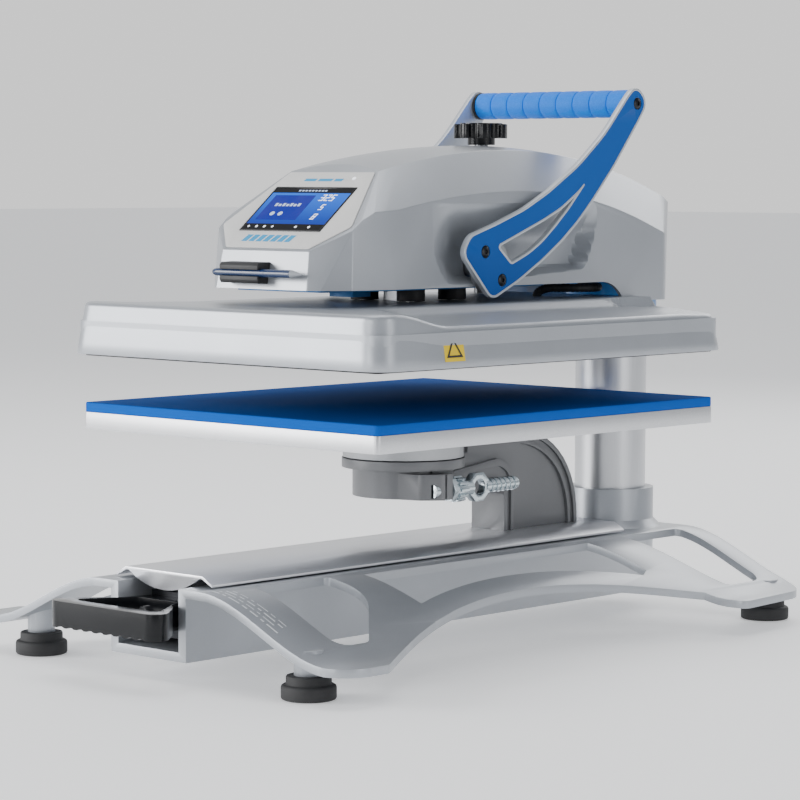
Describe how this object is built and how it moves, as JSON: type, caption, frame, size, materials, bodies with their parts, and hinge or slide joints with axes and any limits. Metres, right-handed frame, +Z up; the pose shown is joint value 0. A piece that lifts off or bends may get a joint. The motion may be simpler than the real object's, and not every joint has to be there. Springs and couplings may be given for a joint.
{
  "type": "heat press",
  "caption": "Swing-away heat press: draw-out lower platen on an arched base, and a post-mounted head with a lever, cam and heated platen.",
  "frame": {"origin": "on the bench, under the middle of the whole press's footprint", "axes": "+Z up, +Y from the drawer handle to the post, +X to the operator's right"},
  "size_m": [0.516, 0.809, 0.5642],
  "materials": {
    "silver_paint": "satin",
    "grey_paint": "satin",
    "blue_paint": "satin",
    "lever_silver": "satin",
    "inlay_blue": "gloss",
    "bright_steel": "brushed",
    "machine_steel": "machined",
    "zinc": "zinc plated",
    "black_steel": "satin",
    "cast_aluminium": "cast",
    "platen_aluminium": "sanded",
    "bronze": "satin",
    "silicone_blue": "matte",
    "foot_rubber": "matte",
    "foam_blue": "foam",
    "black_gloss": "gloss",
    "black_matte": "matte",
    "panel_grey": "satin",
    "screen_blue": "gloss",
    "lamp_white": "gloss",
    "board_green": "solder mask",
    "stylus_navy": "gloss",
    "stylus_grey": "matte",
    "fibre_board": "matte"
  },
  "bodies": {
    "base": {"base_casting": "silver_paint", "rubber_feet": "foot_rubber", "foot_studs": "bright_steel", "post_tube": "bright_steel", "post_cap": "machine_steel", "collar_screws": "black_steel", "fixed_rails": "machine_steel", "thrust_washer": "bronze"},
    "drawer": {"slide_plate": "silver_paint", "drawer_beam": "black_steel", "drawer_runners": "machine_steel", "drawer_handle": "black_gloss", "drawer_handle_screws": "machine_steel", "platen_arm": "grey_paint", "arm_bolts": "machine_steel", "clamp_nut": "zinc", "platen_spigot": "cast_aluminium", "platen_screws": "machine_steel", "platen_plate": "platen_aluminium", "silicone_pad": "silicone_blue"},
    "clamp_bolt": {"clamp_screw": "zinc"},
    "head": {"casing_shell": "silver_paint", "console_overlay": "panel_grey", "screen_frame": "black_gloss", "touch_screen": "screen_blue", "status_light": "lamp_white", "control_board": "board_green", "stylus_clip": "black_matte", "casing_screws": "black_steel", "power_plate": "black_matte", "power_inlet": "black_matte", "swing_frame": "blue_paint", "hub_bushes": "bronze", "guide_bushes": "black_steel", "shaft_bearings": "bronze", "conduit_gland": "black_matte", "heater_conduit": "black_matte"},
    "stylus": {"stylus_barrel": "stylus_navy", "stylus_tip": "stylus_grey"},
    "power_rocker": {"rocker_key": "black_matte"},
    "handle": {"cross_shaft": "bright_steel", "press_cam": "machine_steel", "lever_flanges": "bright_steel", "lever_right": "lever_silver", "lever_left": "lever_silver", "lever_inlay_right": "inlay_blue", "lever_inlay_left": "inlay_blue", "lever_bolts": "black_steel", "grip_tube": "bright_steel", "foam_grip": "foam_blue", "grip_rings": "black_matte"},
    "press": {"platen_cover": "silver_paint", "heater_plate": "black_steel", "insulation_board": "fibre_board", "crosshead": "machine_steel", "guide_rods": "bright_steel", "lift_springs": "bright_steel", "cover_screws": "black_steel"},
    "pressure_knob": {"pressure_knob": "black_gloss", "pressure_screw": "machine_steel"}
  },
  "joints": [
    {"name": "drawer_slide", "type": "slide", "parent": "base", "child": "drawer", "axis": [0, -1, 0], "range_m": [0, 0.25]},
    {"name": "clamp_turn", "type": "hinge", "parent": "drawer", "child": "clamp_bolt", "pos_m": [0.062, 0.0062, 0.156], "axis": [0, 1, 0], "range_deg": [0, 180]},
    {"name": "head_swing", "type": "hinge", "parent": "base", "child": "head", "pos_m": [0, 0.345, 0.36], "axis": [0, 0, 1], "range_deg": [-90, 90]},
    {"name": "stylus_slide", "type": "slide", "parent": "head", "child": "stylus", "axis": [1, 0, 0], "range_m": [0, 0.07]},
    {"name": "rocker_tilt", "type": "hinge", "parent": "head", "child": "power_rocker", "pos_m": [-0.097, 0.26, 0.395], "axis": [0, 1, 0], "range_deg": [0, 14]},
    {"name": "handle_turn", "type": "hinge", "parent": "head", "child": "handle", "pos_m": [0, 0.022, 0.382], "axis": [1, 0, 0], "range_deg": [0, 120]},
    {"name": "press_drop", "type": "slide", "parent": "head", "child": "press", "axis": [0, 0, -1], "range_m": [0, 0.0465], "deforming": ["lift_springs"]},
    {"name": "pressure_turn", "type": "hinge", "parent": "head", "child": "pressure_knob", "pos_m": [0, 0.1266, 0.45], "axis": [0, 0, 1], "continuous": true}
  ],
  "couplings": [
    {"joint": "press_drop", "follows": "handle_turn", "m_per_rad": 0.0222}
  ]
}
